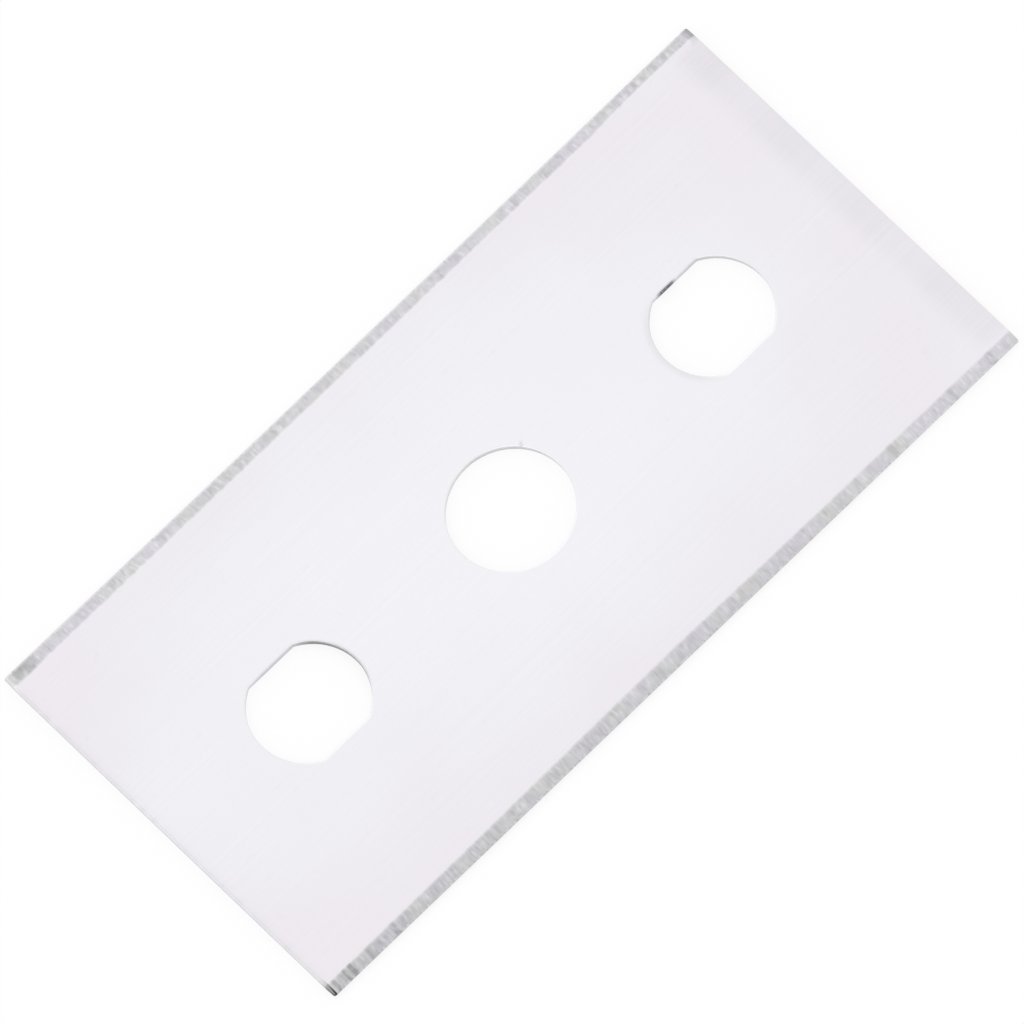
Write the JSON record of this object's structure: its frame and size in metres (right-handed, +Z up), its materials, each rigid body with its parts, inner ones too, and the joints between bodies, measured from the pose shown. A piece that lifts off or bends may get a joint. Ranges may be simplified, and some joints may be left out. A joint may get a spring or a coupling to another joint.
{
  "type": "three-hole blade",
  "caption": "Flat double-edged blade of thin hardened steel, ground along both long edges, with a round hole in the middle and a flatted hole on each side of it.",
  "frame": {"origin": "on the axis of the centre hole, at the blade's lower face", "axes": "+X along the cutting edges, +Y across the blade, +Z up through its thickness"},
  "size_m": [0.043, 0.022, 0.0004],
  "materials": {
    "blade_steel": "polished strip faces, bands ground across along both edges, punched holes and sheared ends"
  },
  "bodies": {
    "root": {"blade": "blade_steel"}
  },
  "joints": []
}
